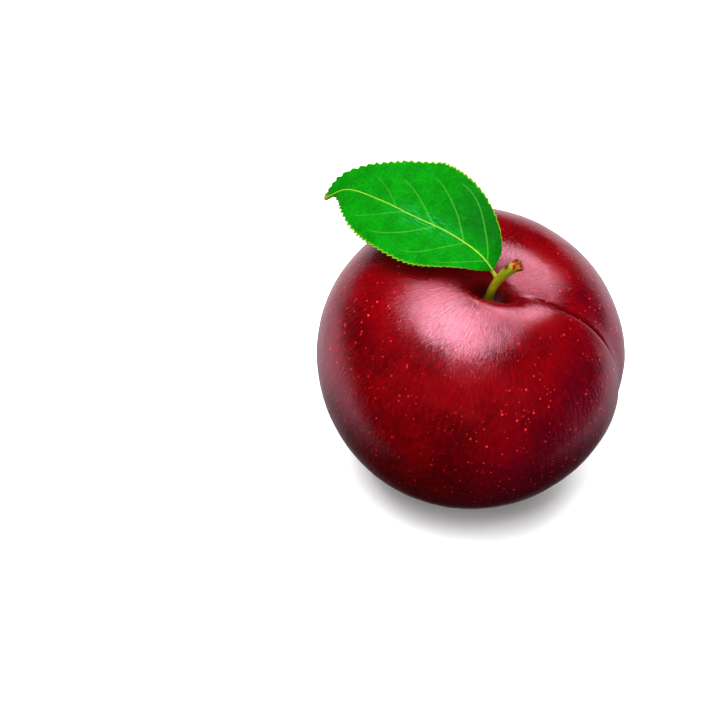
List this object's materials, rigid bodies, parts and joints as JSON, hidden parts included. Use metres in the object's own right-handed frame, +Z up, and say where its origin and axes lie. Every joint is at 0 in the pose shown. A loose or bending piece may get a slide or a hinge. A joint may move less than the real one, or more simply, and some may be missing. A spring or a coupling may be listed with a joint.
{
  "type": "plum",
  "caption": "Whole ripe dark red plum with a seam down one side, a stalk curving out of the hollow at its top, and a pointed, finely toothed green leaf.",
  "frame": {"origin": "centre of the small flat spot on the skin that the plum rests on", "axes": "+Z up; the seam side of the fruit is at +X; the hollow and the stalk lean towards -Y; the leaf points to -X and +Y"},
  "size_m": [0.0648, 0.0644, 0.0725],
  "materials": {
    "plum_skin": "smooth waxy skin, dark crimson with small pale dots and fine streaks",
    "green_stalk": "matte yellow-green, with a brown torn end",
    "green_leaf": "satin green, with a pale net of veins"
  },
  "bodies": {
    "root": {"fruit": "plum_skin", "stalk": "green_stalk", "leaf": "green_leaf"}
  },
  "joints": []
}
